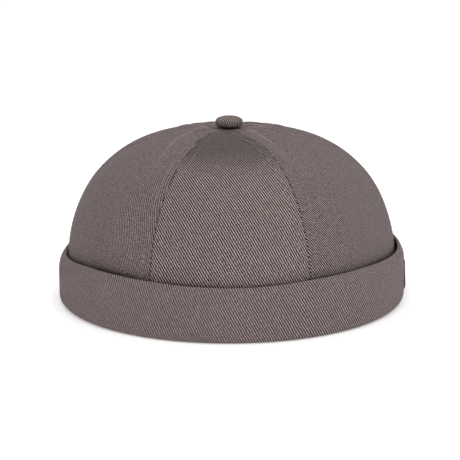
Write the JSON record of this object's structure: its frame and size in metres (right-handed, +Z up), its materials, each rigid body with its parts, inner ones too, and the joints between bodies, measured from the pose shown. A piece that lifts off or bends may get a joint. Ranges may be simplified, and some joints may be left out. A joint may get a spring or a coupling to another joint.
{
  "type": "docker cap",
  "caption": "Brimless close-fitting cap of cotton twill with a sewn panel crown, covered top button, turned-up cuff and small side label.",
  "frame": {"origin": "middle of the head opening, on the surface that the cap rests on", "axes": "+Z up through the crown to the button, -Y to the front of the cap, +X to the wearer's left, where the label is"},
  "size_m": [0.1921, 0.2166, 0.1001],
  "materials": {
    "crown_twill": "matte taupe cotton twill with fine diagonal lines",
    "cuff_twill": "matte taupe cotton twill, doubled and turned up",
    "button_twill": "matte taupe cotton twill stretched over a button form",
    "label_weave": "dense navy woven label with folded edges"
  },
  "bodies": {
    "root": {"crown_panel_front": "crown_twill", "crown_panel_front_left": "crown_twill", "crown_panel_back_left": "crown_twill", "crown_panel_back": "crown_twill", "crown_panel_back_right": "crown_twill", "crown_panel_front_right": "crown_twill", "cuff": "cuff_twill", "button": "button_twill", "label": "label_weave"}
  },
  "joints": []
}
